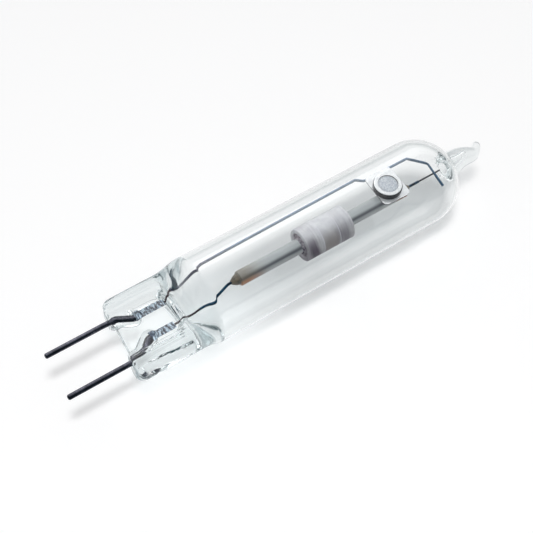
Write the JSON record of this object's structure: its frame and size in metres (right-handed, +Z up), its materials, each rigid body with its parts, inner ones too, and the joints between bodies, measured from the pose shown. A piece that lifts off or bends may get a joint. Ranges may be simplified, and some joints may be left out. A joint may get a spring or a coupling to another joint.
{
  "type": "metal halide lamp",
  "caption": "Single-ended bi-pin discharge lamp with a ceramic arc tube, wire frame and getter in a clear quartz bulb.",
  "frame": {"origin": "on the lamp's axis, midway between the two contact pins, 0.15 mm in front of the place where pin b enters the pinch's end face", "axes": "-X along the contact pins and out of the pinch, +X towards the sealed exhaust tip, +Z up as the lamp lies on its bulb, pins side by side along Y"},
  "size_m": [0.0842, 0.0158, 0.015],
  "materials": {
    "quartz": "clear fused quartz, polished by flame",
    "pin_metal": "drawn molybdenum, dull grey",
    "foil_metal": "thin crinkled molybdenum ribbon",
    "wire_metal": "drawn wire, blue-grey from heat",
    "feedthrough_metal": "niobium with a blue heat tint",
    "alumina": "translucent sintered alumina",
    "frit": "brown sealing frit",
    "tungsten": "bare tungsten",
    "salts": "condensed metal halide salts",
    "getter_steel": "bright nickel-plated steel sheet",
    "getter_fill": "pressed grey metal powder"
  },
  "bodies": {
    "root": {"outer_bulb": "quartz", "contact_pin_a": "pin_metal", "contact_pin_b": "pin_metal", "pinch_foil_a": "foil_metal", "pinch_foil_b": "foil_metal", "inner_lead_a": "wire_metal", "inner_lead_b": "wire_metal", "frame_wire": "wire_metal", "top_wire": "wire_metal", "feedthrough_lower": "feedthrough_metal", "feedthrough_upper": "feedthrough_metal", "arc_tube_wall": "alumina", "end_plug_lower": "alumina", "end_plug_upper": "alumina", "capillary_lower": "alumina", "capillary_upper": "alumina", "frit_seal_lower": "frit", "frit_seal_upper": "frit", "spacer_coil_lower": "tungsten", "spacer_coil_upper": "tungsten", "electrode_lower": "tungsten", "electrode_upper": "tungsten", "electrode_coil_lower": "tungsten", "electrode_coil_upper": "tungsten", "halide_dose": "salts", "getter_plate": "getter_steel", "getter_cup": "getter_steel", "getter_powder": "getter_fill"}
  },
  "joints": []
}
